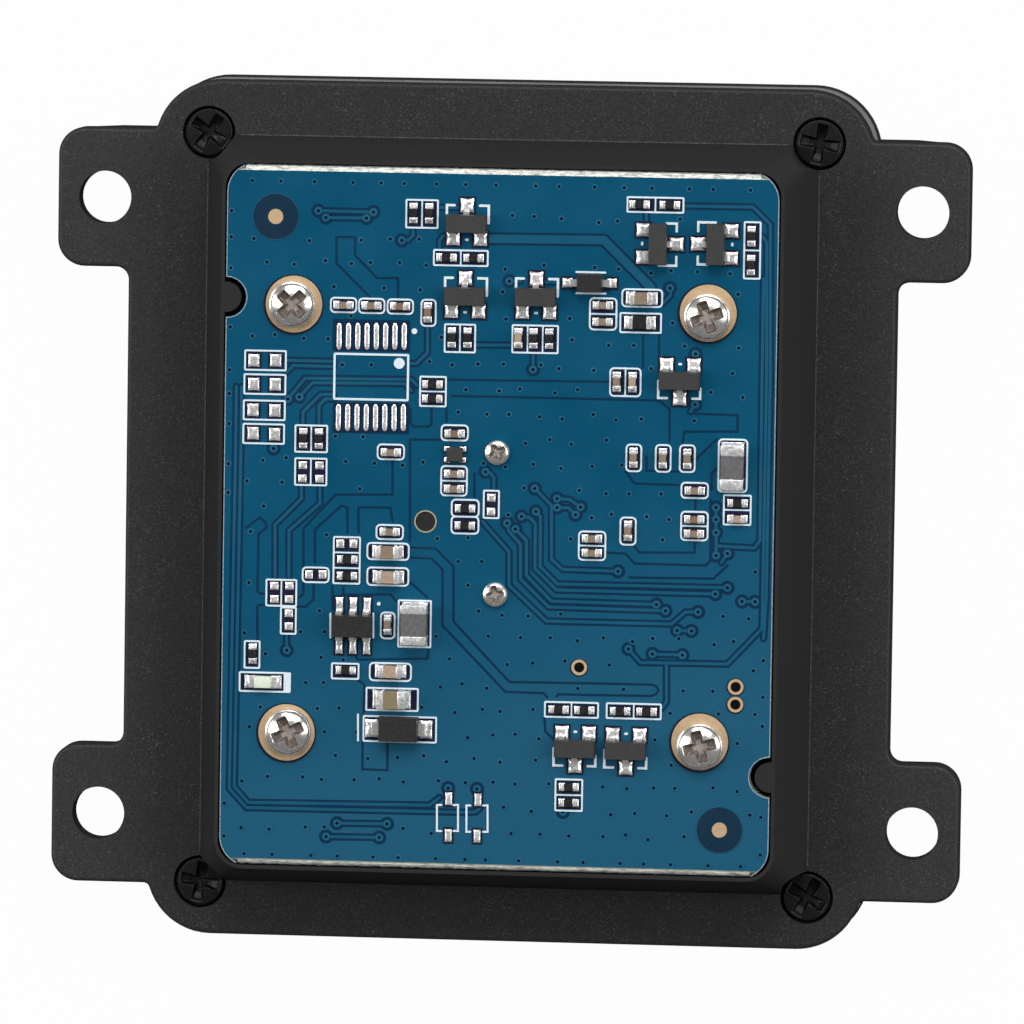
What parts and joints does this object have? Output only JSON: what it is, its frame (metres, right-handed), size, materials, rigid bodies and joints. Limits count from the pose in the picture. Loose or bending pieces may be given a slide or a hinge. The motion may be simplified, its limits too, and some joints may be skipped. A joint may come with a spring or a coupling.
{
  "type": "barcode scanner module",
  "caption": "Black moulded scanner module with mounting ears, a clear front window and a circuit board screwed into its raised rear.",
  "frame": {"origin": "Middle of the footprint, on the plane of the front rim on which the module rests.", "axes": "+Z runs from the front window to the rear circuit board, +X along the wider side across the ears, +Y up in the picture."},
  "size_m": [0.0644, 0.0606, 0.0155],
  "materials": {
    "black_shell": "moulded, fine grain",
    "clear_window": "clear and polished",
    "tape": "black foam tape",
    "black_screw": "black oxide",
    "bright_screw": "nickel plated",
    "board": "blue solder mask over copper",
    "barrel": "black anodised",
    "lens": "polished",
    "diffuser": "frosted",
    "lamp": "white lamp package",
    "chip": "moulded black, no marking",
    "tin_lead": "tin plated",
    "crystal_can": "metal can",
    "connector": "cream moulded",
    "pin": "gold plated",
    "resistor": "black glaze, tinned ends",
    "capacitor": "tan ceramic, tinned ends",
    "ferrite": "grey ferrite, tinned ends"
  },
  "bodies": {
    "root": {"rear_frame": "black_shell", "front_shell": "black_shell", "reflector_frame": "black_shell", "lens_holder": "black_shell", "window": "clear_window", "window_tape": "tape", "frame_screws": "black_screw", "board_screws": "bright_screw", "lens_holder_screws": "bright_screw", "circuit_board": "board", "lens_barrel": "barrel", "lens_glass": "lens", "aiming_lens": "lens", "led_diffusers": "diffuser", "illumination_leds": "lamp", "aiming_led": "lamp", "indicator_lamp": "lamp", "image_sensor": "chip", "processor_chip": "chip", "memory_chip": "chip", "sensor_chip": "chip", "transistor_bodies": "chip", "regulator_body": "chip", "small_diode_body": "chip", "large_diode_body": "chip", "memory_chip_leads": "tin_lead", "transistor_leads": "tin_lead", "regulator_leads": "tin_lead", "small_diode_leads": "tin_lead", "large_diode_leads": "tin_lead", "clock_crystal": "crystal_can", "buzzer": "chip", "cable_connector": "connector", "connector_pins": "pin", "small_resistors": "resistor", "large_resistor": "resistor", "input_fuse": "resistor", "small_capacitors": "capacitor", "large_capacitors": "capacitor", "bulk_capacitor": "capacitor", "power_inductor": "ferrite"}
  },
  "joints": []
}
